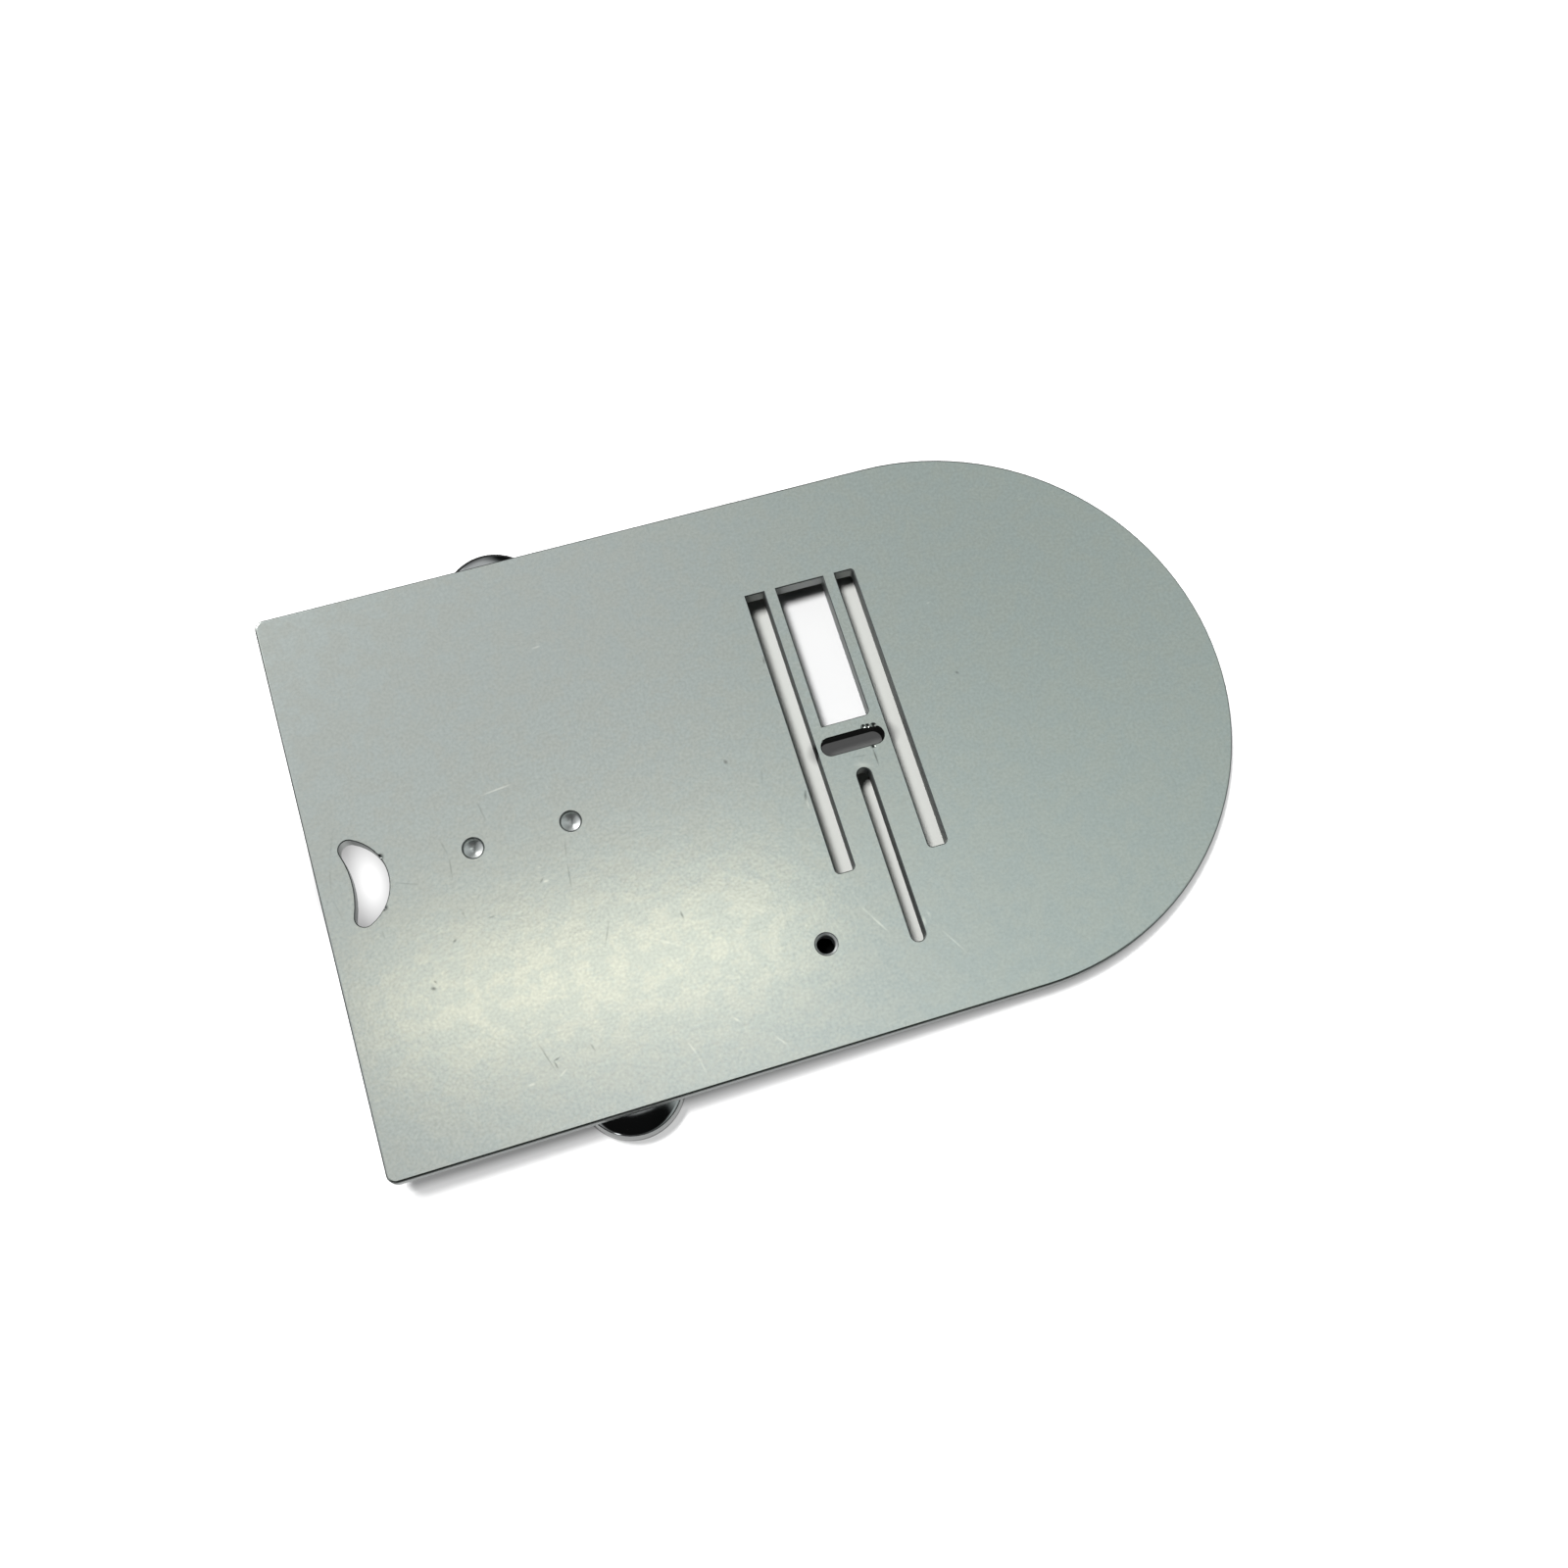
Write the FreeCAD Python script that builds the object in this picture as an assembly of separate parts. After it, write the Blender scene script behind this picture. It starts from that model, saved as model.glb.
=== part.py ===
import FreeCAD, Part
import math
import os

# The needle plate of a domestic sewing machine, with the two round studs under it that the machine's
# springs grip. The cloth slides over its top face, and the feed teeth and the needle work through its slots.
#
# Sizes are in millimetres. X runs from the straight end to the round end, Y from the user's side to the
# rear, and Z up. The origin lies under the middle of the plate, level with the bottom of the studs.
# Places along the plate are measured from its straight end, and places across it from its centre line,
# with the rear side positive.

# Plate
plate_length = 98.9
plate_width = 61.0
plate_thickness = 1.8
plate_corner_radius = 1.0
top_edge_radius = 0.25
lower_edge_break = 0.12
slot_edge_break = 0.1

# Line across the plate that the needle and the middle slots lie on
needle_line = 57.3

# Needle slot, a round-ended slot as long as the widest stitch
needle_slot_length = 6.9
needle_slot_width = 1.95
needle_slot_across = 0.24

# Feed slots for the rows of teeth: one either side of the needle line, and a wide one behind the needle
feed_row_spacing = 10.2
feed_slot_width = 2.1
feed_slot_front = -13.2
feed_slot_rear = 19.2
feed_slot_corner_radius = 0.5
round_side_corner_radius = 0.35
middle_slot_width = 5.35
middle_slot_front = 2.65
middle_slot_corner_radius = 0.6

# Narrow round-ended slot in front of the needle
front_slot_width = 1.55
front_slot_front = -22.35
front_slot_rear = -2.95

# Two drilled sockets on the centre line, with the drill's point at the bottom
first_socket_from_end = 16.1
socket_spacing = 10.3
socket_radius = 1.0
socket_rim_radius = 1.18
socket_wall_depth = 0.75
drill_point_angle = 118.0

# Tapped hole for the screw of a seam guide
guide_hole_from_end = 47.9
guide_hole_across = -19.9
guide_hole_radius = 0.98
guide_hole_rim_radius = 1.25

# Kidney-shaped hole at the straight end: a crescent between two arcs, with small round ends
kidney_near_wall = 3.55
kidney_far_wall = 7.2
kidney_across = -0.3
kidney_near_radius = 10.2
kidney_far_radius = 5.1
kidney_end_radius = 1.0

# Studs, turned and polished, each on a shank that is pressed into the underside of the plate
stud_from_end = 25.1
stud_overhang = 2.45
stud_radius = 5.5
stud_height = 3.6
stud_seat_radius = 2.6
stud_dome_slope = 25.0
stud_rim_radius = 1.0
stud_lead_in = 0.9
shank_radius = 2.0
shank_length = 1.0
shank_clearance = 0.02
shank_end_clearance = 0.05

# Dents that needles have struck at the needle slot: along from the needle line, across, radius, depth
needle_dents = [
    (1.55, 1.4, 0.3, 0.16),
    (2.0, 1.32, 0.34, 0.18),
    (2.62, 1.18, 0.42, 0.2),
    (1.95, -0.86, 0.26, 0.1),
    (-3.05, 0.95, 0.24, 0.1),
]

# Nicks that a tool has left at the kidney-shaped hole: from the straight end, across, radius, depth
kidney_nicks = [
    (6.78, 1.72, 0.32, 0.2),
    (6.02, -3.6, 0.26, 0.16),
]

# A cutter reaches this far past a face, so that it cuts it clean
cutter_overrun = 1.0

# An edge counts as lying at a height when both its ends are this close to it
level_tolerance = 0.001

underside = stud_height
top_face = underside + plate_thickness
up = FreeCAD.Vector(0, 0, 1)


def along(from_end):
    """Turns a distance from the straight end into X."""
    return from_end - plate_length / 2


def rounded_outline(corners, height):
    """Closed outline at a height, through corners given in order as x, y and the radius of each."""
    points = [FreeCAD.Vector(x, y, height) for x, y, _ in corners]
    radii = [radius for _, _, radius in corners]
    starts = []
    middles = []
    ends = []
    for i, (here, radius) in enumerate(zip(points, radii)):
        back = points[i - 1] - here
        ahead = points[(i + 1) % len(points)] - here
        back.normalize()
        ahead.normalize()
        half_angle = back.getAngle(ahead) / 2
        inwards = back + ahead
        inwards.normalize()
        centre = here + inwards * (radius / math.sin(half_angle))
        starts.append(here + back * (radius / math.tan(half_angle)))
        middles.append(centre - inwards * radius)
        ends.append(here + ahead * (radius / math.tan(half_angle)))
    edges = []
    for start, middle, end, following, radius in zip(starts, middles, ends, starts[1:] + starts[:1], radii):
        if radius:
            edges.append(Part.Arc(start, middle, end).toShape())
        if end.distanceToPoint(following) > Part.Precision.confusion():
            edges.append(Part.makeLine(end, following))
    return Part.Wire(edges)


def prism(outline, height):
    """Solid that stands on an outline."""
    return Part.Face(outline).extrude(up * height)


def slot_cutter(low_x, high_x, low_y, high_y, radii):
    """Cutter right through the plate. The radii go round from the corner at low x and low y to high x."""
    places = [(low_x, low_y), (high_x, low_y), (high_x, high_y), (low_x, high_y)]
    corners = [(x, y, radius) for (x, y), radius in zip(places, radii)]
    return prism(rounded_outline(corners, underside - cutter_overrun), plate_thickness + 2 * cutter_overrun)


def plate_blank():
    """Flat plate with a straight end, two slightly rounded corners and a half-round end."""
    half = plate_width / 2
    end = plate_length / 2
    corners = [
        (-end, -half, plate_corner_radius),
        (end, -half, half),
        (end, half, half),
        (-end, half, plate_corner_radius),
    ]
    return prism(rounded_outline(corners, underside), plate_thickness)


def edges_at(shape, height):
    """Edges of a shape that lie flat at a height."""
    found = []
    for edge in shape.Edges:
        box = edge.BoundBox
        if max(abs(box.ZMin - height), abs(box.ZMax - height)) < level_tolerance:
            found.append(edge)
    return found


def needle_slot():
    """Round-ended slot across the plate's length, for the needle's swing."""
    middle = along(needle_line)
    radius = needle_slot_width / 2
    return slot_cutter(
        middle - needle_slot_length / 2,
        middle + needle_slot_length / 2,
        needle_slot_across - radius,
        needle_slot_across + radius,
        [radius] * 4,
    )


def feed_slots():
    """Two long slots either side of the needle line, and the wide one behind the needle."""
    middle = along(needle_line)
    cutters = []
    for side, rear_radius in ((-1, 0), (1, round_side_corner_radius)):
        row = middle + side * feed_row_spacing / 2
        cutters.append(
            slot_cutter(
                row - feed_slot_width / 2,
                row + feed_slot_width / 2,
                feed_slot_front,
                feed_slot_rear,
                [feed_slot_corner_radius, feed_slot_corner_radius, rear_radius, 0],
            )
        )
    cutters.append(
        slot_cutter(
            middle - middle_slot_width / 2,
            middle + middle_slot_width / 2,
            middle_slot_front,
            feed_slot_rear,
            [0, middle_slot_corner_radius, 0, 0],
        )
    )
    return cutters


def front_slot():
    """Narrow round-ended slot in front of the needle."""
    middle = along(needle_line)
    radius = front_slot_width / 2
    return slot_cutter(middle - radius, middle + radius, front_slot_front, front_slot_rear, [radius] * 4)


def kidney_hole():
    """Crescent cutter. Each end circle touches the far arc from inside and the near arc from outside."""
    far_centre = FreeCAD.Vector(along(kidney_far_wall) - kidney_far_radius, kidney_across, 0)
    near_centre = FreeCAD.Vector(along(kidney_near_wall) - kidney_near_radius, kidney_across, 0)
    far_reach = kidney_far_radius - kidney_end_radius
    near_reach = kidney_near_radius + kidney_end_radius
    apart = far_centre.x - near_centre.x
    end_offset = (near_reach**2 - far_reach**2 - apart**2) / (2 * apart)
    end_rise = math.sqrt(far_reach**2 - end_offset**2)

    touches = []
    for side in (1, -1):
        end_centre = far_centre + FreeCAD.Vector(end_offset, side * end_rise, 0)
        outwards = (end_centre - far_centre).normalize()
        homewards = (near_centre - end_centre).normalize()
        tip = (outwards + homewards).normalize()
        touches.append(
            (
                end_centre + outwards * kidney_end_radius,
                end_centre + tip * kidney_end_radius,
                end_centre + homewards * kidney_end_radius,
            )
        )
    (rear_far, rear_tip, rear_near), (front_far, front_tip, front_near) = touches
    far_middle = far_centre + FreeCAD.Vector(kidney_far_radius, 0, 0)
    near_middle = near_centre + FreeCAD.Vector(kidney_near_radius, 0, 0)
    arcs = [
        Part.Arc(front_far, far_middle, rear_far),
        Part.Arc(rear_far, rear_tip, rear_near),
        Part.Arc(rear_near, near_middle, front_near),
        Part.Arc(front_near, front_tip, front_far),
    ]
    outline = Part.Wire([arc.toShape() for arc in arcs])
    outline.translate(up * (underside - cutter_overrun))
    return prism(outline, plate_thickness + 2 * cutter_overrun)


def turned_cutter(radius, rim_radius, wall_depth, point_depth):
    """Round cutter below the origin: a 45 degree countersink for the rim, a straight wall and a point."""
    profile = [
        (0, cutter_overrun),
        (rim_radius + cutter_overrun, cutter_overrun),
        (radius, radius - rim_radius),
        (radius, -wall_depth),
        (0, -(wall_depth + point_depth)),
    ]
    points = [FreeCAD.Vector(x, 0, z) for x, z in profile]
    return Part.Face(Part.makePolygon(points + points[:1])).revolve(FreeCAD.Vector(), up)


def sockets():
    """Two blind drilled sockets on the centre line, each with the drill's point at its bottom."""
    point_depth = socket_radius / math.tan(math.radians(drill_point_angle / 2))
    cutters = []
    for from_end in (first_socket_from_end, first_socket_from_end + socket_spacing):
        cutter = turned_cutter(socket_radius, socket_rim_radius, socket_wall_depth, point_depth)
        cutter.translate(FreeCAD.Vector(along(from_end), 0, top_face))
        cutters.append(cutter)
    return cutters


def guide_hole():
    """Hole right through for the guide's screw, countersunk at the top, at the thread's inner radius."""
    depth = plate_thickness + cutter_overrun
    cutter = turned_cutter(guide_hole_radius, guide_hole_rim_radius, depth, 0)
    cutter.translate(FreeCAD.Vector(along(guide_hole_from_end), guide_hole_across, top_face))
    return cutter


def stud_place(side):
    """Where a stud's axis meets the underside. Side is -1 at the front and 1 at the rear."""
    across = plate_width / 2 + stud_overhang - stud_radius
    return FreeCAD.Vector(along(stud_from_end), side * across, underside)


def shank_hole(side):
    """Blind hole in the underside that a stud's shank sits in."""
    return Part.makeCylinder(
        shank_radius + shank_clearance,
        shank_length + shank_end_clearance + cutter_overrun,
        stud_place(side) - up * cutter_overrun,
    )


def dent(x, y, radius, depth):
    """Cone that leaves a pointed dent of a radius and depth in the top face."""
    reach = (depth + cutter_overrun) / depth
    return Part.makeCone(0, radius * reach, depth * reach, FreeCAD.Vector(x, y, top_face - depth))


def dents():
    """Every dent and nick of the plate's wear."""
    cones = [dent(along(needle_line + x), y, radius, depth) for x, y, radius, depth in needle_dents]
    cones += [dent(along(x), y, radius, depth) for x, y, radius, depth in kidney_nicks]
    return cones


def make_plate():
    """The plate with its edges broken and every slot and hole cut."""
    blank = plate_blank()
    blank = blank.makeChamfer(lower_edge_break, edges_at(blank, underside))
    blank = blank.makeFillet(top_edge_radius, edges_at(blank, top_face))
    outer_edges = len(edges_at(blank, top_face))

    slots = [needle_slot(), front_slot(), kidney_hole()] + feed_slots()
    slotted = blank.cut(slots)
    slot_edges = edges_at(slotted, top_face)
    inner_edges = [edge for edge in slot_edges if not lies_on_outline(edge)]
    assert len(slot_edges) - len(inner_edges) == outer_edges
    slotted = slotted.makeChamfer(slot_edge_break, inner_edges)

    holes = sockets() + [guide_hole(), shank_hole(-1), shank_hole(1)]
    return slotted.cut(holes + dents())


def lies_on_outline(edge):
    """True for an edge of the top face's own outline, which is the plate's outline less its rounded edge."""
    middle = edge.valueAt((edge.FirstParameter + edge.LastParameter) / 2)
    flat_half = plate_width / 2 - top_edge_radius
    flat_end = plate_length / 2 - top_edge_radius
    round_centre = plate_length / 2 - plate_width / 2
    if middle.x > round_centre:
        return math.hypot(middle.x - round_centre, middle.y) > flat_half - slot_edge_break
    return abs(middle.y) > flat_half - plate_corner_radius or middle.x < -flat_end + plate_corner_radius


def arc(centre, radius, first_slope, last_slope):
    """Arc of a turned profile, from one slope of its surface to another, in radians from level."""
    slopes = (first_slope, (first_slope + last_slope) / 2, last_slope)
    points = [centre + FreeCAD.Vector(math.sin(slope), 0, math.cos(slope)) * radius for slope in slopes]
    return Part.Arc(*points).toShape()


def make_stud(side):
    """Turned stud: a flat seat under the plate, a dome, a round rim, a lead-in bevel below, and the shank."""
    slope = math.radians(stud_dome_slope)
    rim_axis = stud_radius - stud_rim_radius
    axis_spacing = (rim_axis - stud_seat_radius) / math.sin(slope)
    dome_radius = stud_rim_radius + axis_spacing
    dome_centre = FreeCAD.Vector(stud_seat_radius, 0, stud_height - dome_radius)
    rim_centre = dome_centre + FreeCAD.Vector(math.sin(slope), 0, math.cos(slope)) * axis_spacing
    side_and_foot = [
        (stud_radius, rim_centre.z),
        (stud_radius, stud_lead_in),
        (stud_radius - stud_lead_in, 0),
        (0, 0),
        (0, stud_height + shank_length),
        (shank_radius, stud_height + shank_length),
        (shank_radius, stud_height),
        (stud_seat_radius, stud_height),
    ]
    profile = [
        arc(dome_centre, dome_radius, 0, slope),
        arc(rim_centre, stud_rim_radius, slope, math.pi / 2),
        Part.makePolygon([FreeCAD.Vector(x, 0, z) for x, z in side_and_foot]),
    ]
    edges = [edge for shape in profile for edge in shape.Edges]
    stud = Part.Face(Part.Wire(edges)).revolve(FreeCAD.Vector(), up)
    place = stud_place(side)
    stud.translate(FreeCAD.Vector(place.x, place.y, 0))
    return stud


pieces = {
    "plate": make_plate(),
    "front_stud": make_stud(-1),
    "rear_stud": make_stud(1),
}

os.makedirs("parts", exist_ok=True)
for name, shape in pieces.items():
    assert shape.isValid() and len(shape.Solids) == 1, name
    shape.Solids[0].exportStep(f"parts/{name}.step")
    print(name, "volume", round(shape.Volume, 2))
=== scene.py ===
import math

import bpy
import numpy as np
from bpy.props import FloatProperty, FloatVectorProperty, PointerProperty
from mathutils import Matrix, Vector


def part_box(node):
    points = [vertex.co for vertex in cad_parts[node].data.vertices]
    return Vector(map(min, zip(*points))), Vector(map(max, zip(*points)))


bl_info = {
    "name": "Needle plate looks",
    "version": (1, 0, 0),
    "blender": (4, 5, 0),
    "location": "3D View > Sidebar > Needle plate",
    "description": "Finishes a sewing machine's needle plate and its studs, and sets the stage round them",
    "category": "Material",
}

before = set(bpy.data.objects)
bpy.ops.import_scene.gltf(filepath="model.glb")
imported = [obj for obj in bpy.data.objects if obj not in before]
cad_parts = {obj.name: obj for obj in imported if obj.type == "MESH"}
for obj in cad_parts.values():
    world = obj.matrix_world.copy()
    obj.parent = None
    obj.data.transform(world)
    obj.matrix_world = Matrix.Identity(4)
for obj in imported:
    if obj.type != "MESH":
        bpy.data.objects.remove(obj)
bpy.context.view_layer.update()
plate_low, plate_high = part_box("plate")
stud_low, stud_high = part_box("front_stud")

MM = 0.001

# Marks on the top face, each a thin ellipse from one point to another: scratches and grime, and painted glints and
# painted shade on burrs and nicks. The points are in millimetres, along from the straight end and across from the
# centre line, then come the width and how strong it is.
light_marks = [
    (18.18, 5.23, 21.91, 5.59, 0.12, 1.2),
    (27.50, 19.60, 28.39, 19.70, 0.16, 0.9),
    (52.48, -17.16, 53.30, -18.40, 0.14, 0.5),
    (53.10, -18.20, 54.46, -20.54, 0.15, 1.0),
    (59.71, -21.77, 61.59, -25.01, 0.13, 0.8),
    (30.29, -13.80, 34.24, -16.21, 0.16, 0.3),
    (36.59, -24.37, 37.20, -25.07, 0.16, 0.6),
    (31.48, -25.27, 32.12, -27.03, 0.14, 0.5),
    (32.12, -27.03, 32.48, -29.14, 0.16, 0.4),
    (40.08, -27.35, 41.12, -28.75, 0.14, 0.6),
    (18.54, -25.09, 19.42, -24.52, 0.14, 0.7),
    (15.22, -25.09, 15.95, -25.08, 0.16, 0.8),
    (22.18, -5.44, 22.45, -5.49, 0.24, 1.0),
    (21.82, -3.81, 22.21, -3.92, 0.16, 0.6),
    (56.76, -2.37, 58.13, -2.88, 0.4, 0.7),
    (50.57, -4.74, 50.61, -5.64, 0.2, 0.8),
    (69.92, 13.05, 70.41, 13.16, 0.14, 0.6),
    (58.35, -20.08, 58.31, -20.82, 0.26, 0.9),
    (58.95, -19.60, 59.10, -20.20, 0.2, 0.7),
    # Painted glints: the last four light marks stand for light caught by burrs beside the needle slot.
    (58.99, 1.50, 59.05, 1.58, 0.11, 1.3),
    (59.44, 1.42, 59.50, 1.50, 0.11, 1.3),
    (60.06, 1.28, 60.12, 1.36, 0.11, 1.3),
    (54.39, 1.05, 54.45, 1.13, 0.11, 1.3),
]
dark_marks = [
    (59.08, -0.99, 59.12, -3.28, 0.13, 1.0),
    (17.62, 5.06, 18.12, 2.17, 0.12, 0.35),
    (27.46, -11.02, 26.19, -13.96, 0.12, 0.35),
    (34.59, -12.41, 34.70, -13.23, 0.14, 0.8),
    (17.25, -21.16, 18.26, -24.50, 0.13, 0.45),
    (18.30, -23.47, 19.04, -23.22, 0.12, 0.8),
    (18.55, -24.30, 18.35, -23.50, 0.12, 0.7),
    (22.25, -22.84, 22.49, -23.65, 0.13, 0.55),
    (13.02, 1.91, 13.52, -0.19, 0.12, 0.3),
    (13.52, -0.19, 13.30, -2.71, 0.12, 0.35),
    (25.30, -1.68, 24.94, -3.75, 0.12, 0.25),
    (24.94, -3.75, 24.59, -7.32, 0.12, 0.35),
    (7.55, -1.34, 10.16, -2.25, 0.12, 0.3),
    (21.81, -5.42, 22.11, -5.08, 0.14, 0.5),
    (15.73, -7.58, 16.34, -7.55, 0.14, 0.45),
    (13.36, -5.71, 13.58, -7.26, 0.12, 0.25),
    (56.36, -1.49, 58.47, -1.72, 0.12, 0.35),
    (50.77, -3.64, 50.50, -4.61, 0.2, 0.8),
    (43.60, 1.80, 43.72, 1.62, 0.26, 0.8),
    (8.70, -13.00, 8.86, -13.06, 0.26, 1.0),
    (9.01, -12.29, 9.19, -12.55, 0.12, 0.7),
    (11.84, -8.96, 12.07, -8.82, 0.16, 0.8),
    (70.48, 4.56, 70.64, 4.44, 0.18, 0.7),
    (47.08, 0.10, 46.60, -2.02, 0.12, 0.25),
    (2.98, 5.93, 1.82, 2.60, 0.12, 0.2),
    (1.82, 2.60, 1.21, -0.96, 0.12, 0.2),
    (1.21, -0.96, 1.90, -4.02, 0.12, 0.2),
    (5.27, -5.86, 5.36, -6.73, 0.12, 0.3),
    (50.95, 11.88, 50.85, 11.21, 0.2, 0.7),
    # Painted shade: the last seven dark marks stand for shade on the burrs and nicks round the needle slot and on the
    # kidney-shaped hole's edge.
    (58.77, 1.34, 58.91, 1.42, 0.14, 1.4),
    (59.22, 1.26, 59.36, 1.34, 0.14, 1.4),
    (59.84, 1.12, 59.98, 1.20, 0.14, 1.4),
    (59.17, -0.92, 59.31, -0.84, 0.32, 1.8),
    (6.68, 1.70, 6.88, 1.74, 0.46, 1.8),
    (5.94, -3.62, 6.10, -3.58, 0.4, 1.8),
    (54.17, 0.89, 54.31, 0.97, 0.14, 1.4),
]

# The two sockets' cones and the guide hole's countersink: from the straight end, across and radius, in millimetres
drilled_holes = [(16.1, 0.0, 1.03), (26.4, 0.0, 1.03), (47.9, -19.9, 1.19)]

# The needle slot: from the straight end, across, half its length and half its width, in millimetres
needle_slot = (57.3, 0.24, 3.45, 0.98)


def linear(hex_colour):
    """Turns an sRGB hex colour into linear red, green and blue."""
    channels = np.array([int(hex_colour[i : i + 2], 16) for i in (0, 2, 4)]) / 255
    return tuple(np.where(channels <= 0.04045, channels / 12.92, ((channels + 0.055) / 1.055) ** 2.4))


def colour(name, description, hex_colour):
    """A colour that the panel shows."""
    return FloatVectorProperty(
        name=name, description=description, default=linear(hex_colour), subtype="COLOR", size=3, min=0, max=1
    )


def share(name, description, default):
    """A share from 0 to 1 that the panel shows."""
    return FloatProperty(name=name, description=description, default=default, min=0, max=1, subtype="FACTOR")


def length(name, description, millimetres):
    """A length that the panel shows."""
    return FloatProperty(
        name=name, description=description, default=millimetres * MM, min=0, unit="LENGTH", subtype="DISTANCE"
    )


class PlateFinish(bpy.types.PropertyGroup):
    plating: colour("Plating", "The plated steel's own colour", "C4CBC6")
    worn_plating: colour("Worn plating", "The plating where it has a warmer cast", "C7CCC5")
    cut_steel: colour("Cut steel", "The sheared and filed walls of the outline and the slots", "CED2D0")
    # Painted shade: the rounded and bevelled edges get a darker colour that stands for the dark line of shade along
    # them.
    shaded_edge: colour("Broken edge", "The narrow rounded and bevelled edges, dark with oil", "868A88")
    # Partly painted light: bare drilled steel, given a colour far lighter than steel so that the cones look lit.
    drilled_steel_and_sheen: colour("Drilled steel", "The drill's cones and countersinks", "F0F2F0")
    # Painted shade: the needle slot's walls are painted near-black for the deep shade in the narrow slot, as well as
    # for oil and lint.
    oily_shaded_steel: colour("Oily steel", "The needle slot's walls, black with oil and lint", "2A2C2B")
    # Painted highlight: the same light colour makes the glints on burrs beside the needle slot.
    scratch_and_glint: colour("Scratch", "Steel that a scratch has laid bare", "F2F4EA")
    # Painted shade: the same dark colour makes the shade on burrs and nicks.
    dirt_and_shade: colour("Dirt", "Dark specks and lines of dirt and oil", "2E3230")
    marks_shown: share("Wear shown", "How far the scratches and the dirt show", 0.74)
    roughness: share("Roughness", "How satin the top face is", 0.18)
    cut_roughness: share("Cut roughness", "How dull the cut walls are", 0.42)
    drilled_roughness: share("Drilled roughness", "How dull the drill has left its cones", 0.44)
    mottle: length("Mottle", "Size of the cloudy patches in the plating", 1.7)
    mottle_height: length("Mottle height", "How high the patches stand", 0.009)
    grain: length("Grain", "Size of the grain that grinding has left", 0.32)
    grain_height: length("Grain height", "How high the grain stands", 0.003)


class StudFinish(bpy.types.PropertyGroup):
    chrome: colour("Chrome", "The polished studs' colour", "BCBEBD")
    roughness: share("Roughness", "How dull the polish is", 0.09)


class StageSettings(bpy.types.PropertyGroup):
    ceiling: colour("Ceiling", "Light from above, which the top face mirrors", "D4D6D8")
    far_ceiling: colour("Far ceiling", "The ceiling past the round end, a little cooler", "CDD5D5")
    strip: colour("Strip lamp", "Colour of the long lamp in the top face's highlight", "FFF5D6")
    strip_power: FloatProperty(
        name="Strip power", description="Power of the long lamp", default=0.030, min=0, unit="POWER"
    )
    floor_power: FloatProperty(
        name="Floor power", description="Power of the lamp that lights the floor alone", default=12.0, min=0, unit="POWER"
    )
    window_power: FloatProperty(
        name="Window power", description="Power of the window that the sockets' cones catch", default=2.2, min=0, unit="POWER"
    )
    # Painted shade in reflections: the metal mirrors the floor darker than the floor looks.
    mirrored_floor: share("Mirrored floor", "How bright the metal mirrors the floor, next to how it looks", 0.35)
    mirrored_far_floor: share("Mirrored far floor", "The same behind the plate and past its straight end", 0.05)
    mirrored_near_floor: share("Mirrored near floor", "The same in front of the plate", 0.42)
    # Painted light: a faint glow that lightens the plate's shadow on the floor.
    shadow_painted_light: share("Shadow glow", "How light the shadow beside the plate stays", 0.21)
    floor_glow: share("Floor glow", "How far the floor is white whatever light falls on it", 0.3)
    paper: colour("Paper", "The floor's paper, which the floor lamp lights", "959595")
    # Painted shade: darker paper under the narrow slots, the needle slot and the guide hole, with a little painted
    # light in the shade under the needle slot.
    narrow_shade_spot: colour("Narrow spot", "The floor under the narrow slots", "848582")
    needle_shade_spot: colour("Needle spot", "The floor under the needle slot", "383938")
    needle_painted_glow: share("Needle glow", "How light the floor under the needle slot is in shadow", 0.07)
    guide_shade_spot: colour("Guide spot", "The floor under the guide hole", "0A0A0A")
    focal_length: FloatProperty(
        name="Focal length", description="The camera's focal length", default=39.65 * MM, unit="CAMERA"
    )


def node(tree, kind, inputs=None, **settings):
    """Adds a node with its settings. An input that is given another node's output is linked to it."""
    added = tree.nodes.new(kind)
    for name, value in settings.items():
        setattr(added, name, value)
    for socket, value in (inputs or {}).items():
        if isinstance(value, bpy.types.NodeSocket):
            tree.links.new(value, added.inputs[socket])
        else:
            added.inputs[socket].default_value = value
    return added


def new_material(name):
    """An empty material, its node tree and its output node."""
    material = bpy.data.materials.new(name)
    material.use_nodes = True
    material.node_tree.nodes.clear()
    return material, material.node_tree, node(material.node_tree, "ShaderNodeOutputMaterial")


def with_alpha(rgb):
    """Adds the fourth number that a colour socket needs."""
    return (*rgb, 1.0)


def mark_strength(tree, place, marks, shown):
    """Sum of the marks' strengths at a place, times the share of it that is shown.

    Each mark is 1 less the distance from its middle, in lengths of its half axes, and never under 0.
    """
    total = 0.0
    for x0, y0, x1, y1, width, strength in marks:
        middle = (plate_low.x + (x0 + x1) / 2 * MM, (y0 + y1) / 2 * MM, plate_high.z)
        half_length = (math.hypot(x1 - x0, y1 - y0) / 2 + width) * MM
        turned = node(
            tree,
            "ShaderNodeMapping",
            {
                "Vector": place,
                "Location": middle,
                "Rotation": (0, 0, math.atan2(y1 - y0, x1 - x0)),
                "Scale": (half_length, width * MM, 0.3 * MM),
            },
            vector_type="TEXTURE",
        )
        ellipse = node(tree, "ShaderNodeTexGradient", {"Vector": turned.outputs[0]}, gradient_type="SPHERICAL")
        total = node(
            tree, "ShaderNodeMath", {0: ellipse.outputs["Fac"], 1: strength, 2: total}, operation="MULTIPLY_ADD"
        ).outputs[0]
    return node(tree, "ShaderNodeMath", {0: total, 1: shown}, operation="MULTIPLY", use_clamp=True).outputs[0]


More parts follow.
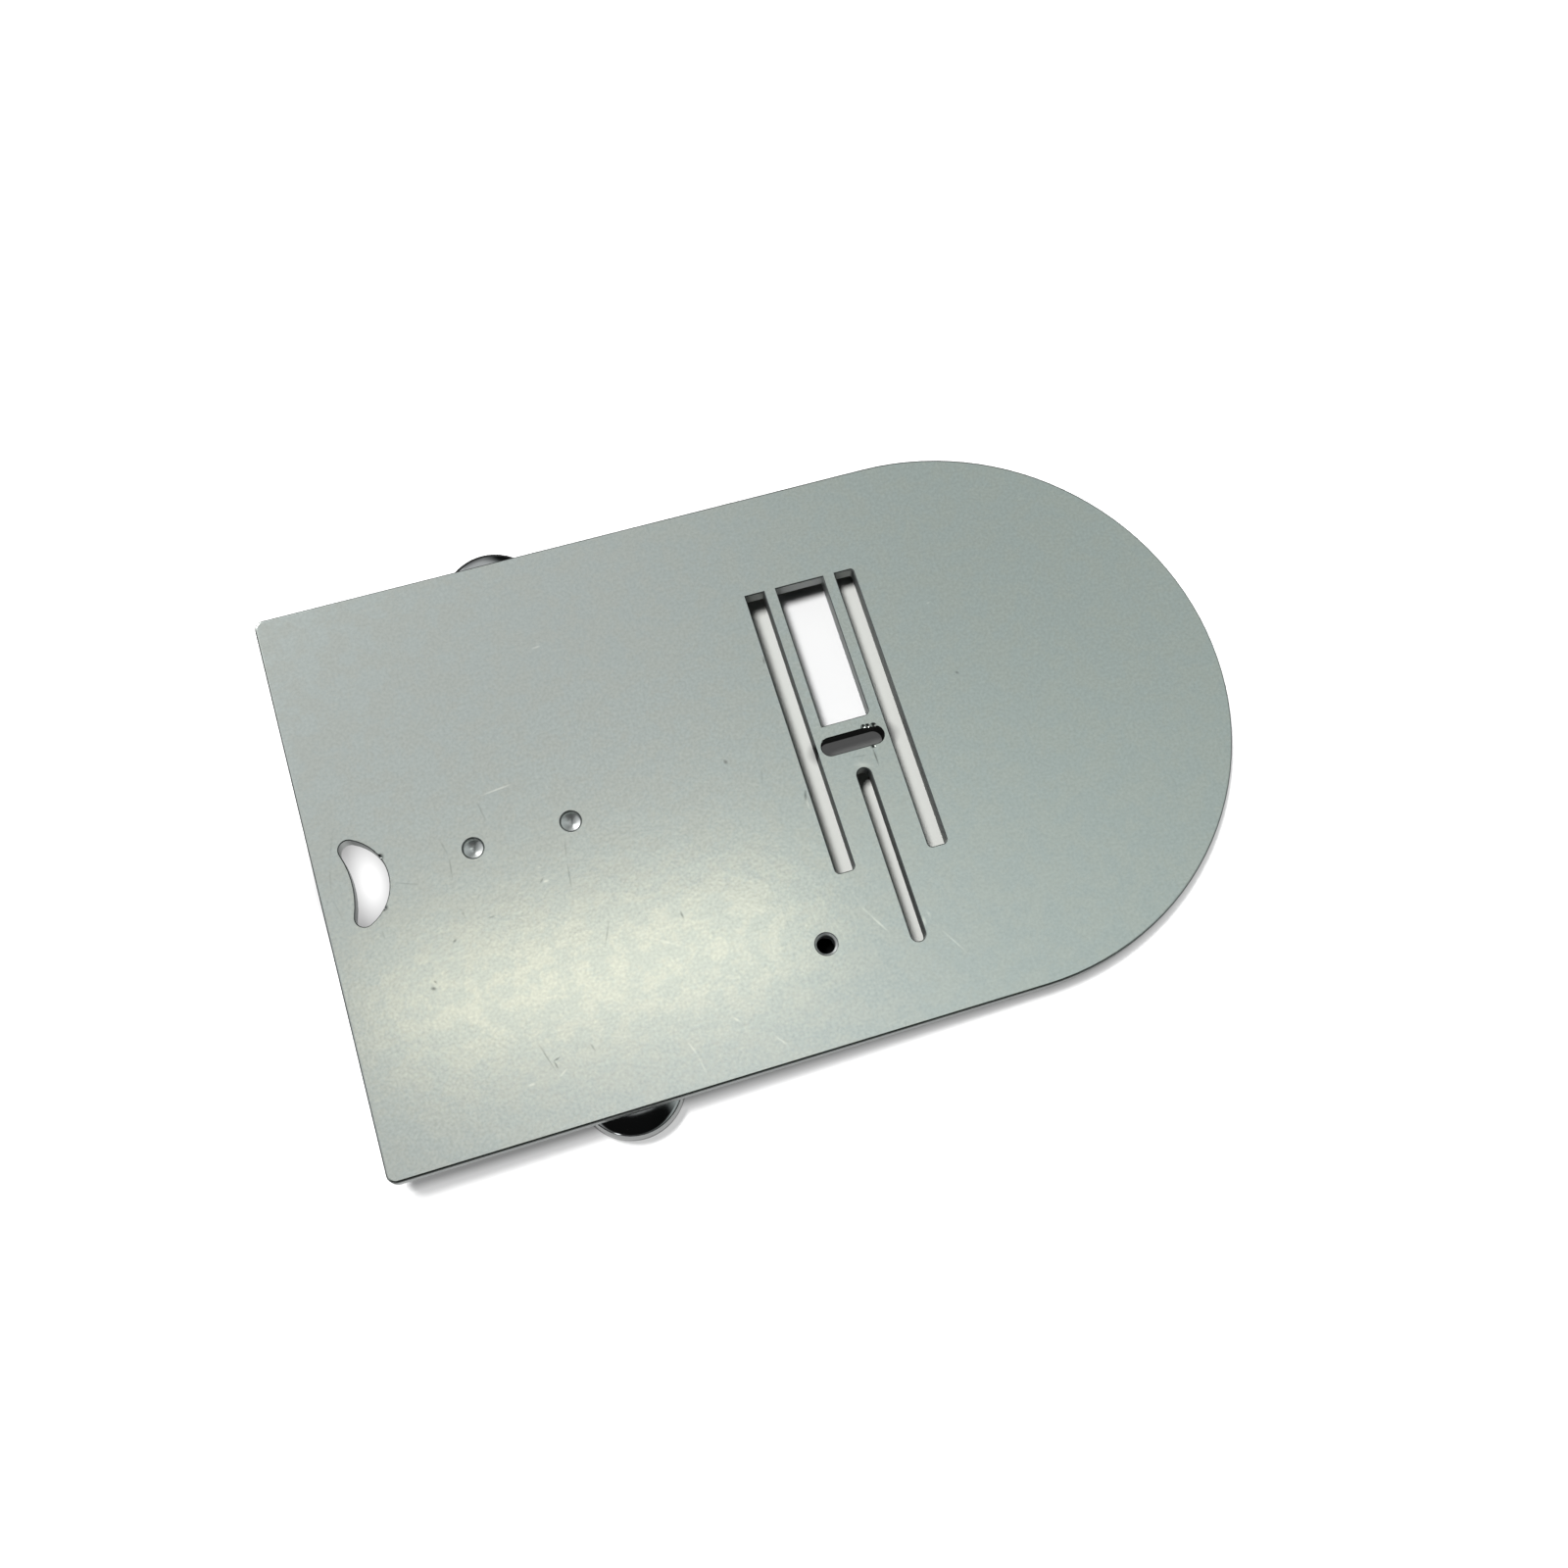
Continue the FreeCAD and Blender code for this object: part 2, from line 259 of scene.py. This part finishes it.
def hairlines(tree, place, angle, share_shown):
    """Faint straight scratches in one direction: noise drawn out along it, cut off but for its peaks."""
    turned = node(tree, "ShaderNodeMapping", {"Vector": place, "Rotation": (0, 0, angle), "Scale": (1.0, 28.0, 1.0)})
    noise = node(tree, "ShaderNodeTexNoise", {"Vector": turned.outputs[0], "Scale": 260.0, "Detail": 1.0})
    peaks = node(
        tree,
        "ShaderNodeMapRange",
        {"Value": noise.outputs["Fac"], "From Min": 1.0 - share_shown, "From Max": 1.08 - share_shown},
    )
    return peaks.outputs[0]


def drilled_places(tree, place):
    """1 within the rim of each drilled hole and 0 elsewhere."""
    total = 0.0
    for from_end, across, rim_radius in drilled_holes:
        turned = node(
            tree,
            "ShaderNodeMapping",
            {
                "Vector": place,
                "Location": (plate_low.x + from_end * MM, across * MM, plate_high.z),
                "Scale": (rim_radius * MM, rim_radius * MM, 4 * MM),
            },
            vector_type="TEXTURE",
        )
        ball = node(tree, "ShaderNodeTexGradient", {"Vector": turned.outputs[0]}, gradient_type="SPHERICAL")
        inside = node(tree, "ShaderNodeMapRange", {"Value": ball.outputs["Fac"], "From Max": 0.03}).outputs[0]
        total = node(tree, "ShaderNodeMath", {0: inside, 1: total}, operation="MAXIMUM").outputs[0]
    return total


def needle_slot_shade(tree, place):
    """1 at the needle slot's walls and their broken edges, where painted shade goes, and 0 elsewhere."""
    from_end, across, half_length, half_width = needle_slot
    turned = node(
        tree,
        "ShaderNodeMapping",
        {
            "Vector": place,
            "Location": (plate_low.x + from_end * MM, across * MM, plate_low.z),
            "Scale": (1.5 * half_length * MM, 1.8 * half_width * MM, 4 * MM),
        },
        vector_type="TEXTURE",
    )
    ball = node(tree, "ShaderNodeTexGradient", {"Vector": turned.outputs[0]}, gradient_type="SPHERICAL")
    return node(tree, "ShaderNodeMapRange", {"Value": ball.outputs["Fac"], "From Max": 0.1}).outputs[0]


def plated_steel(finish):
    """Ground steel sheet with a satin plating, and dull cut walls.

    The eye sees a pale, slightly green grey that blurs what it mirrors, cloudy patches where the plating
    catches a lamp, darker walls where the sheet was cut, and the scratches and grime of years of use.
    Painted shade darkens the rounded and bevelled edges and the needle slot's walls, painted light makes the
    drilled cones lighter, and painted glints and painted shade mark the burrs and nicks.
    """
    material, tree, output = new_material("satin_plated_steel")
    place = node(tree, "ShaderNodeTexCoord").outputs["Object"]

    clouds = node(tree, "ShaderNodeTexNoise", {"Vector": place, "Scale": 1 / finish.mottle, "Detail": 4.0})
    frost = node(
        tree, "ShaderNodeTexNoise", {"Vector": place, "Scale": 0.7 / finish.mottle, "Detail": 8.0, "Roughness": 0.68}
    )
    grain = node(tree, "ShaderNodeTexNoise", {"Vector": place, "Scale": 1 / finish.grain, "Detail": 2.0})
    patch = node(
        tree, "ShaderNodeMapRange", {"Value": frost.outputs["Fac"], "From Min": 0.44, "From Max": 0.56}
    ).outputs[0]
    cast = node(
        tree,
        "ShaderNodeMix",
        {"Factor": patch, 6: with_alpha(finish.plating), 7: with_alpha(finish.worn_plating)},
        data_type="RGBA",
    ).outputs[2]

    speckle = node(
        tree,
        "ShaderNodeMapRange",
        {"Value": grain.outputs["Fac"], "From Min": 0.3, "From Max": 0.7, "To Min": 0.94, "To Max": 1.06},
    ).outputs[0]
    cast = node(tree, "ShaderNodeVectorMath", {0: cast, "Scale": speckle}, operation="SCALE").outputs[0]

    lines = 0.0
    for angle, share_shown in ((0.35, 0.27), (1.25, 0.27), (2.3, 0.26)):
        lines = node(
            tree, "ShaderNodeMath", {0: hairlines(tree, place, angle, share_shown), 1: lines}, operation="MAXIMUM"
        ).outputs[0]
    faint = node(tree, "ShaderNodeMath", {0: lines, 1: 0.12}, operation="MULTIPLY").outputs[0]
    light = node(
        tree, "ShaderNodeMath", {0: mark_strength(tree, place, light_marks, finish.marks_shown), 1: faint}, operation="MAXIMUM"
    ).outputs[0]
    # Painted glints: the light marks include the glints on burrs beside the needle slot.
    scratched_and_glinting = node(
        tree, "ShaderNodeMix", {"Factor": light, 6: cast, 7: with_alpha(finish.scratch_and_glint)}, data_type="RGBA"
    ).outputs[2]
    # Painted shade: the dark marks include the shade on burrs and nicks.
    marked = node(
        tree,
        "ShaderNodeMix",
        {"Factor": mark_strength(tree, place, dark_marks, finish.marks_shown), 6: scratched_and_glinting, 7: with_alpha(finish.dirt_and_shade)},
        data_type="RGBA",
    ).outputs[2]

    facing = node(tree, "ShaderNodeTexCoord").outputs["Normal"]
    upright = node(tree, "ShaderNodeSeparateXYZ", {0: facing}).outputs["Z"]
    flatness = node(tree, "ShaderNodeMath", {0: upright}, operation="ABSOLUTE").outputs[0]
    edge = node(tree, "ShaderNodeMapRange", {"Value": flatness, "From Min": 0.1, "From Max": 0.35}).outputs[0]
    ground = node(tree, "ShaderNodeMapRange", {"Value": flatness, "From Min": 0.8, "From Max": 0.97}).outputs[0]
    # Painted shade: between the walls and the top face, the rounded and bevelled edges take the darker edge colour.
    walls = node(
        tree,
        "ShaderNodeMix",
        {"Factor": edge, 6: with_alpha(finish.cut_steel), 7: with_alpha(finish.shaded_edge)},
        data_type="RGBA",
    ).outputs[2]
    # Painted shade: the needle slot's walls and edges take the near-black oily colour.
    walls = node(
        tree,
        "ShaderNodeMix",
        {"Factor": needle_slot_shade(tree, place), 6: walls, 7: with_alpha(finish.oily_shaded_steel)},
        data_type="RGBA",
    ).outputs[2]
    steel = node(tree, "ShaderNodeMix", {"Factor": ground, 6: walls, 7: marked}, data_type="RGBA").outputs[2]
    # Partly painted light: the drilled cones and countersinks take the far lighter drilled colour.
    drilled = node(
        tree, "ShaderNodeMath", {0: drilled_places(tree, place), 1: edge}, operation="MULTIPLY"
    ).outputs[0]
    steel = node(
        tree, "ShaderNodeMix", {"Factor": drilled, 6: steel, 7: with_alpha(finish.drilled_steel_and_sheen)}, data_type="RGBA"
    ).outputs[2]
    satin = node(
        tree,
        "ShaderNodeMapRange",
        {"Value": patch, "To Min": finish.roughness * 1.07, "To Max": finish.roughness * 0.955},
    ).outputs[0]
    dullness = node(
        tree, "ShaderNodeMapRange", {"Value": ground, "To Min": finish.cut_roughness, "To Max": satin}
    ).outputs[0]
    dullness = node(
        tree, "ShaderNodeMapRange", {"Value": drilled, "To Min": dullness, "To Max": finish.drilled_roughness}
    ).outputs[0]

    waves = node(
        tree,
        "ShaderNodeBump",
        {"Height": clouds.outputs["Fac"], "Distance": finish.mottle_height, "Strength": 1.0},
    ).outputs[0]
    ripples = node(
        tree,
        "ShaderNodeBump",
        {"Height": grain.outputs["Fac"], "Distance": finish.grain_height, "Strength": 1.0, "Normal": waves},
    ).outputs[0]
    shader = node(
        tree,
        "ShaderNodeBsdfPrincipled",
        {"Base Color": steel, "Metallic": 1.0, "Roughness": dullness, "Normal": ripples},
    )
    tree.links.new(shader.outputs[0], output.inputs["Surface"])
    return material


def polished_chrome(finish):
    """Turned, polished and chromed steel: a mirror that shows the dark and light of what stands round it."""
    material, tree, output = new_material("polished_chrome")
    shader = node(
        tree,
        "ShaderNodeBsdfPrincipled",
        {"Base Color": with_alpha(finish.chrome), "Metallic": 1.0, "Roughness": finish.roughness},
    )
    tree.links.new(shader.outputs[0], output.inputs["Surface"])
    return material


def put_on(piece, material):
    """Gives a piece one material."""
    piece.data.materials.clear()
    piece.data.materials.append(material)


class NEEDLEPLATE_OT_finish_plate(bpy.types.Operator):
    """Give the plate its satin plating, its dull cut walls, its worn marks, and its painted shade and glints"""

    bl_idname = "needleplate.finish_plate"
    bl_label = "Finish plate"

    def execute(self, context):
        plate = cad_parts["plate"]
        put_on(plate, plated_steel(context.scene.needle_plate_finish))
        return {"FINISHED"}


class NEEDLEPLATE_OT_finish_studs(bpy.types.Operator):
    """Give both studs their polish"""

    bl_idname = "needleplate.finish_studs"
    bl_label = "Finish studs"

    def execute(self, context):
        material = polished_chrome(context.scene.needle_plate_studs)
        for name in ("front_stud", "rear_stud"):
            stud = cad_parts[name]
            put_on(stud, material)
        return {"FINISHED"}


def floor_height(x):
    """Height of the floor at a place along the plate, which leans on its studs and on its round end.

    The floor is the plane through the studs' lower bevel and the lower edge of the round end.
    """
    stud_bevel = 0.9 * MM
    tipping_edge = stud_high.x - stud_bevel
    slope = plate_low.z / (plate_high.x - tipping_edge)
    return (x - tipping_edge) * slope


def floor_mesh(half_size):
    """A square of floor: x and y run over a grid, and the height follows floor_height."""
    x, y = np.meshgrid([-half_size, half_size], [-half_size, half_size])
    points = np.stack([x, y, floor_height(x)], axis=-1).reshape(-1, 3)
    mesh = bpy.data.meshes.new("floor")
    mesh.from_pydata(points.tolist(), [], [(0, 1, 3, 2)])
    return mesh


def soft_spot(tree, place, middle, half_x, half_y, border=0.3):
    """Soft-edged ellipse on the floor, in millimetres: 0 outside and 1 from a border in, a share of its size."""
    turned = node(
        tree,
        "ShaderNodeMapping",
        {"Vector": place, "Location": Vector((*middle, 0)) * MM, "Scale": (half_x * MM, half_y * MM, 1.0)},
        vector_type="TEXTURE",
    )
    ellipse = node(tree, "ShaderNodeTexGradient", {"Vector": turned.outputs[0]}, gradient_type="SPHERICAL")
    return node(tree, "ShaderNodeMapRange", {"Value": ellipse.outputs["Fac"], "From Max": border}).outputs[0]


def beyond_outline(tree, place):
    """How far a place on the floor lies outside the plate's own outline, and less than 0 under it.

    The distance from the outline is the larger of two: from the straight end, and from the straight sides
    and the round end, which is the length of the part of the place past the round end's centre less its radius.
    """
    radius = plate_high.y
    past = node(
        tree, "ShaderNodeVectorMath", {0: place, 1: (plate_high.x - radius, 0, 0)}, operation="SUBTRACT"
    ).outputs[0]
    past = node(tree, "ShaderNodeVectorMath", {0: past, 1: (0, -1, 0)}, operation="MAXIMUM").outputs[0]
    flat = node(tree, "ShaderNodeVectorMath", {0: past, 1: (1, 1, 0)}, operation="MULTIPLY").outputs[0]
    reach = node(tree, "ShaderNodeVectorMath", {0: flat}, operation="LENGTH").outputs["Value"]
    from_sides = node(tree, "ShaderNodeMath", {0: reach, 1: radius}, operation="SUBTRACT").outputs[0]
    along = node(tree, "ShaderNodeSeparateXYZ", {0: place}).outputs["X"]
    from_end = node(tree, "ShaderNodeMath", {0: plate_low.x, 1: along}, operation="SUBTRACT").outputs[0]
    return node(tree, "ShaderNodeMath", {0: from_sides, 1: from_end}, operation="MAXIMUM").outputs[0]


def floor_paper(stage):
    """Matt white paper. Beside the plate it also glows a little, so that it stays white, and a faint glow paints
    light into the plate's pale shadow.

    Further out the glow is full. Deeper under the plate there is none, so the slots show shadow beside the strips
    that the floor lamp lights; the exceptions are a painted pool of light under the kidney-shaped hole and a little
    painted light under the needle slot. The paper is darkened as painted shade under the narrow slots, the needle
    slot and the guide hole, and the metal mirrors the floor darker than it looks, as painted shade in reflections.
    From below the floor isn't seen.
    """
    material, tree, output = new_material("matt_white_paper")
    place = node(tree, "ShaderNodeTexCoord").outputs["Object"]
    ray = node(tree, "ShaderNodeLightPath")

    distance = node(tree, "ShaderNodeVectorMath", {0: place}, operation="LENGTH").outputs["Value"]
    glow = node(
        tree,
        "ShaderNodeMapRange",
        {
            "Value": distance,
            "From Min": 60 * MM,
            "From Max": 200 * MM,
            "To Min": stage.floor_glow,
            "To Max": 1.0,
        },
        interpolation_type="SMOOTHSTEP",
    ).outputs[0]
    beyond = beyond_outline(tree, place)
    beside = node(
        tree, "ShaderNodeMapRange", {"Value": beyond, "From Min": -0.3 * MM, "From Max": 0.5 * MM}
    ).outputs[0]
    glow = node(tree, "ShaderNodeMath", {0: glow, 1: beside}, operation="MULTIPLY").outputs[0]
    # Painted light: from 3 mm under the outline outwards, a faint glow lightens the plate's shadow.
    near_edge = node(
        tree, "ShaderNodeMapRange", {"Value": beyond, "From Min": -3.0 * MM, "From Max": -1.0 * MM}
    ).outputs[0]
    glow = node(
        tree, "ShaderNodeMath", {0: near_edge, 1: stage.shadow_painted_light, 2: glow}, operation="MULTIPLY_ADD"
    ).outputs[0]
    # Painted light: a soft pool of white glow on the floor under the kidney-shaped hole.
    kidney_light_pool = soft_spot(tree, place, (-44.7, 1.4), 4.3, 8.4, 0.85)
    glow = node(tree, "ShaderNodeMath", {0: kidney_light_pool, 1: 1.1, 2: glow}, operation="MULTIPLY_ADD").outputs[0]
    # Painted light: a little glow in the painted shade under the needle slot.
    needle_shade_spot = soft_spot(tree, place, (8.6, 1.1), 5.4, 2.6)
    glow = node(
        tree, "ShaderNodeMath", {0: needle_shade_spot, 1: stage.needle_painted_glow, 2: glow}, operation="MULTIPLY_ADD"
    ).outputs[0]
    spot = node(tree, "ShaderNodeSeparateXYZ", {0: place})
    behind_plate = node(
        tree, "ShaderNodeMath", {0: spot.outputs["Y"], 1: plate_high.y}, operation="SUBTRACT"
    ).outputs[0]
    past_end = node(tree, "ShaderNodeMath", {0: plate_low.x, 1: spot.outputs["X"]}, operation="SUBTRACT").outputs[0]
    away = node(tree, "ShaderNodeMath", {0: behind_plate, 1: past_end}, operation="MAXIMUM").outputs[0]
    before_plate = node(
        tree, "ShaderNodeMath", {0: plate_low.y, 1: spot.outputs["Y"]}, operation="SUBTRACT"
    ).outputs[0]
    # Around the kidney-shaped hole the paper is black under the painted pool of light, and the metal mirrors the
    # floor there lighter.
    kidney_paint_region = soft_spot(tree, place, (-44.7, 1.4), 7.0, 12.0)
    # Painted shade in reflections: how bright the metal mirrors the floor, nearly black behind the plate and past its
    # straight end, a little lighter in front of it.
    painted_mirror_level = node(
        tree, "ShaderNodeMapRange", {"Value": kidney_paint_region, "To Min": stage.mirrored_floor, "To Max": 0.6}
    ).outputs[0]
    for past, level in ((away, stage.mirrored_far_floor), (before_plate, stage.mirrored_near_floor)):
        painted_mirror_level = node(
            tree,
            "ShaderNodeMapRange",
            {"Value": past, "From Min": -1 * MM, "From Max": 1 * MM, "To Min": painted_mirror_level, "To Max": level},
        ).outputs[0]
    seen = node(
        tree,
        "ShaderNodeMath",
        {0: ray.outputs["Is Glossy Ray"], 1: painted_mirror_level, 2: ray.outputs["Is Camera Ray"]},
        operation="MULTIPLY_ADD",
    ).outputs[0]
    strength = node(tree, "ShaderNodeMath", {0: glow, 1: seen}, operation="MULTIPLY").outputs[0]

    # Painted shade: darker paper under the narrow slots, the needle slot and the guide hole, and black paper under
    # the kidney-shaped hole's painted pool of light.
    tone = with_alpha(stage.paper)
    for spot, painted_tone in (
        (soft_spot(tree, place, (3.8, 4.5), 2.4, 34.0), stage.narrow_shade_spot),
        (soft_spot(tree, place, (14.2, 4.5), 2.4, 34.0), stage.narrow_shade_spot),
        (soft_spot(tree, place, (9.0, -11.5), 2.2, 15.0), stage.narrow_shade_spot),
        (needle_shade_spot, stage.needle_shade_spot),
        (soft_spot(tree, place, (-1.0, -19.2), 2.6, 2.6), stage.guide_shade_spot),
        (kidney_paint_region, (0.0, 0.0, 0.0)),
    ):
        tone = node(
            tree, "ShaderNodeMix", {"Factor": spot, 6: tone, 7: with_alpha(painted_tone)}, data_type="RGBA"
        ).outputs[2]
    # Painted shade in reflections: the paper's tone is scaled down for glossy rays.
    mirrored = node(
        tree, "ShaderNodeMapRange", {"Value": ray.outputs["Is Glossy Ray"], "To Min": 1.0, "To Max": painted_mirror_level}
    ).outputs[0]
    tone = node(tree, "ShaderNodeVectorMath", {0: tone, "Scale": mirrored}, operation="SCALE").outputs[0]
    paper = node(tree, "ShaderNodeBsdfDiffuse", {"Color": tone})
    white = node(tree, "ShaderNodeEmission", {"Color": (1.0, 1.0, 1.0, 1.0), "Strength": strength})
    floor = node(tree, "ShaderNodeAddShader", {0: paper.outputs[0], 1: white.outputs[0]})
    behind = node(tree, "ShaderNodeNewGeometry").outputs["Backfacing"]
    clear = node(tree, "ShaderNodeBsdfTransparent")
    shader = node(tree, "ShaderNodeMixShader", {0: behind, 1: floor.outputs[0], 2: clear.outputs[0]})
    tree.links.new(shader.outputs[0], output.inputs["Surface"])
    return material


def lobe(tree, direction, centre, radii, border):
    """Soft patch of sky, with radii in shares of a unit ball.

    It is 0 at the radii and 1 from a border in to its centre. The border is a share of the radii.
    """
    patch = node(
        tree,
        "ShaderNodeMapping",
        {"Vector": direction, "Location": Vector(centre).normalized(), "Scale": radii},
        vector_type="TEXTURE",
    )
    falloff = node(tree, "ShaderNodeTexGradient", {"Vector": patch.outputs[0]}, gradient_type="SPHERICAL")
    return node(
        tree,
        "ShaderNodeMapRange",
        {"Value": falloff.outputs["Fac"], "From Max": border},
        interpolation_type="SMOOTHSTEP",
    ).outputs[0]


def studio_world(stage):
    """Soft studio round the plate: a pale ceiling, brightest overhead, and darker towards the horizon.

    The camera sees white. The front has a dark patch, which the studs mirror.
    """
    world = bpy.data.worlds.new("studio")
    world.use_nodes = True
    tree = world.node_tree
    tree.nodes.clear()
    output = node(tree, "ShaderNodeOutputWorld")
    direction = node(tree, "ShaderNodeTexCoord").outputs["Generated"]
    parts = node(tree, "ShaderNodeSeparateXYZ", {0: direction})
    nearness = node(
        tree,
        "ShaderNodeMapRange",
        {"Value": parts.outputs["X"], "From Min": 0.28, "From Max": 0.06},
        interpolation_type="SMOOTHSTEP",
    ).outputs[0]
    left = node(tree, "ShaderNodeMapRange", {"Value": nearness, "To Min": 0.885, "To Max": 1.04}).outputs[0]
    tint = node(
        tree,
        "ShaderNodeMix",
        {"Factor": nearness, 6: with_alpha(stage.far_ceiling), 7: with_alpha(stage.ceiling)},
        data_type="RGBA",
    ).outputs[2]
    height = node(
        tree,
        "ShaderNodeMapRange",
        {"Value": parts.outputs["Z"], "From Min": 0.18, "From Max": 0.5, "To Min": 0.08, "To Max": 1.0},
        interpolation_type="SMOOTHSTEP",
    ).outputs[0]
    overhead = left
    for centre, radii, strength in (
        ((0.03, 0.04, 1.0), (0.26, 0.26, 0.26), 0.3),
        ((0.21, 0.08, 1.0), (0.34, 0.3, 0.34), 0.4),
    ):
        overhead = node(
            tree,
            "ShaderNodeMath",
            {0: lobe(tree, direction, centre, radii, 1.0), 1: strength, 2: overhead},
            operation="MULTIPLY_ADD",
        ).outputs[0]
    shade = node(
        tree,
        "ShaderNodeMath",
        {0: lobe(tree, direction, (-0.13, -0.6, 0.79), (0.86, 0.7, 0.76), 0.3), 1: -0.99, 2: 1.0},
        operation="MULTIPLY_ADD",
    ).outputs[0]
    strength = node(tree, "ShaderNodeMath", {0: overhead, 1: height}, operation="MULTIPLY").outputs[0]
    strength = node(tree, "ShaderNodeMath", {0: strength, 1: shade}, operation="MULTIPLY").outputs[0]
    rear_shade = lobe(tree, direction, (0.45, 0.85, 0.3), (0.5, 0.5, 0.5), 0.5)
    rear_shade = node(tree, "ShaderNodeMath", {0: rear_shade, 1: -0.97, 2: 1.0}, operation="MULTIPLY_ADD").outputs[0]
    strength = node(tree, "ShaderNodeMath", {0: strength, 1: rear_shade}, operation="MULTIPLY").outputs[0]
    for centre, radius, brightness in (((-0.47, 0.83, 0.33), 0.26, 1.5), ((-0.47, 0.8, 0.37), 0.08, 7.0), ((-0.55, -0.8, 0.22), 0.1, 5.0)):
        strength = node(
            tree,
            "ShaderNodeMath",
            {0: lobe(tree, direction, centre, (radius, radius, radius), 0.6), 1: brightness, 2: strength},
            operation="MULTIPLY_ADD",
        ).outputs[0]
    studio = node(tree, "ShaderNodeBackground", {"Color": tint, "Strength": strength})
    white = node(tree, "ShaderNodeBackground", {"Color": (1.0, 1.0, 1.0, 1.0), "Strength": 1.0})
    camera_ray = node(tree, "ShaderNodeLightPath").outputs["Is Camera Ray"]
    shader = node(tree, "ShaderNodeMixShader", {0: camera_ray, 1: studio.outputs[0], 2: white.outputs[0]})
    tree.links.new(shader.outputs[0], output.inputs["Surface"])
    return world


def add_lamp(name, place, target, width, depth, power, rgb):
    """A flat rectangular lamp at a place in millimetres, which faces a target."""
    lamp = bpy.data.lights.new(name, "AREA")
    lamp.shape = "RECTANGLE"
    lamp.size = width * MM
    lamp.size_y = depth * MM
    lamp.energy = power
    lamp.color = rgb
    holder = bpy.data.objects.new(name, lamp)
    bpy.context.scene.collection.objects.link(holder)
    holder.location = Vector(place) * MM
    holder.rotation_euler = (Vector(target) - Vector(place)).to_track_quat("-Z", "Y").to_euler()
    return holder


def light_alone(lamp, lit):
    """Makes a lamp light these objects and no other."""
    receivers = bpy.data.collections.new("lit_by_" + lamp.name)
    for thing in lit:
        receivers.objects.link(thing)
    lamp.light_linking.receiver_collection = receivers


def add_camera(stage):
    """The camera stands over the plate's front left and looks down on it, as the photograph does."""
    camera = bpy.data.cameras.new("camera")
    camera.sensor_width = 36.0
    camera.lens = stage.focal_length / MM
    camera.clip_start = 10 * MM
    camera.clip_end = 10.0
    holder = bpy.data.objects.new("camera", camera)
    bpy.context.scene.collection.objects.link(holder)
    right = Vector((0.95277622, -0.29708129, 0.06292996))
    above = Vector((0.26563125, 0.91575418, 0.30138733))
    behind = Vector((-0.14716491, -0.27043852, 0.95142288))
    holder.matrix_world = Matrix.Translation(Vector((-27.29, -51.35, 177.87)) * MM) @ Matrix(
        (right, above, behind)
    ).transposed().to_4x4()
    bpy.context.scene.camera = holder


class NEEDLEPLATE_OT_set_stage(bpy.types.Operator):
    """Lay the white floor, hang the lamps and place the camera"""

    bl_idname = "needleplate.set_stage"
    bl_label = "Set stage"

    def execute(self, context):
        stage = context.scene.needle_plate_stage
        mesh = floor_mesh(1.5)
        mesh.materials.append(floor_paper(stage))
        floor = bpy.data.objects.new("floor", mesh)
        context.scene.collection.objects.link(floor)
        context.scene.world = studio_world(stage)
        add_lamp("strip_lamp", (-16, 106, 600), (-24, -16, 5), 190, 38, stage.strip_power, stage.strip)
        window = add_lamp("window_lamp", (-246, 388, 372), (-28, 0, 5), 70, 70, stage.window_power, (1.0, 1.0, 1.0))
        light_alone(window, list(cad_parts.values()))
        floor_lamp = add_lamp("floor_lamp", (-172, 105, 600), (0, 0, 0), 150, 110, stage.floor_power, (1.0, 1.0, 1.0))
        light_alone(floor_lamp, [floor])
        add_camera(stage)
        context.scene.view_settings.view_transform = "Standard"
        return {"FINISHED"}


class NEEDLEPLATE_PT_panel(bpy.types.Panel):
    """Lists the finishes and the stage with their settings"""

    bl_label = "Needle plate"
    bl_idname = "NEEDLEPLATE_PT_panel"
    bl_space_type = "VIEW_3D"
    bl_region_type = "UI"
    bl_category = "Needle plate"

    def draw(self, context):
        scene = context.scene
        for operator, settings in (
            (NEEDLEPLATE_OT_finish_plate, scene.needle_plate_finish),
            (NEEDLEPLATE_OT_finish_studs, scene.needle_plate_studs),
            (NEEDLEPLATE_OT_set_stage, scene.needle_plate_stage),
        ):
            box = self.layout.box()
            box.operator(operator.bl_idname)
            for name in settings.__annotations__:
                box.prop(settings, name)


classes = (
    PlateFinish,
    StudFinish,
    StageSettings,
    NEEDLEPLATE_OT_finish_plate,
    NEEDLEPLATE_OT_finish_studs,
    NEEDLEPLATE_OT_set_stage,
    NEEDLEPLATE_PT_panel,
)


def register():
    for cls in classes:
        bpy.utils.register_class(cls)
    bpy.types.Scene.needle_plate_finish = PointerProperty(type=PlateFinish)
    bpy.types.Scene.needle_plate_studs = PointerProperty(type=StudFinish)
    bpy.types.Scene.needle_plate_stage = PointerProperty(type=StageSettings)


def unregister():
    del bpy.types.Scene.needle_plate_stage
    del bpy.types.Scene.needle_plate_studs
    del bpy.types.Scene.needle_plate_finish
    for cls in reversed(classes):
        bpy.utils.unregister_class(cls)


def main():
    register()
    bpy.ops.needleplate.finish_plate()
    bpy.ops.needleplate.finish_studs()
    bpy.ops.needleplate.set_stage()


if __name__ == "__main__":
    main()
